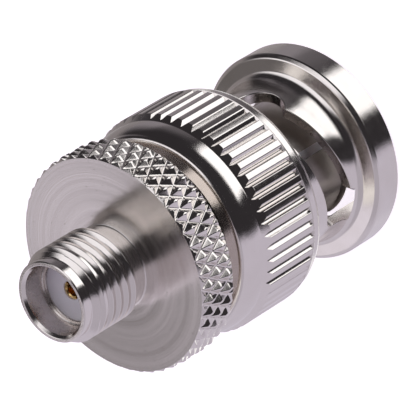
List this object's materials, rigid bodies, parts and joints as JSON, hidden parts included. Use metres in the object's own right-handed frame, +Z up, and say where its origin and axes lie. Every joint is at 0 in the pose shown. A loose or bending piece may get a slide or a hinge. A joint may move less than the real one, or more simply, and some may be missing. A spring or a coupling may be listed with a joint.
{
  "type": "coaxial adapter",
  "caption": "In-line coaxial adapter: threaded jack above a diamond-knurled flange, sprung bayonet coupling nut with serrated grip over a slotted plug with a centre pin.",
  "frame": {"origin": "centre of the open mouth of the coupling nut, on the surface that the adapter stands on", "axes": "+Z up the common axis towards the rim of the threaded jack; -Y towards the side of the coupling nut with the ramp of one bayonet slot in front"},
  "size_m": [0.0152, 0.0152, 0.0259],
  "materials": {
    "nickel": "bright nickel plate on turned brass",
    "spring_brass": "nickel plate",
    "spring_steel": "rolled strip",
    "silicone": "matte silicone",
    "ptfe": "turned PTFE, waxy",
    "gold": "gold plate"
  },
  "bodies": {
    "adapter_body": {"rear_body": "nickel", "front_body": "nickel", "jack_insulator": "ptfe", "plug_insulator": "ptfe", "centre_contact": "gold", "gasket": "silicone", "wave_washer": "spring_steel"},
    "nut_carrier": {"thrust_washer": "spring_brass"},
    "nut": {"coupling_nut": "nickel"}
  },
  "joints": [
    {"name": "nut_slide", "type": "slide", "parent": "adapter_body", "child": "nut_carrier", "axis": [0, 0, -1], "range_m": [0, 0.0008], "stiffness_N_per_m": 3000, "springref_m": -0.0003, "deforming": ["wave_washer"]},
    {"name": "nut_spin", "type": "hinge", "parent": "nut_carrier", "child": "nut", "pos_m": [0, 0, 0.0128], "axis": [0, 0, 1], "continuous": true}
  ]
}
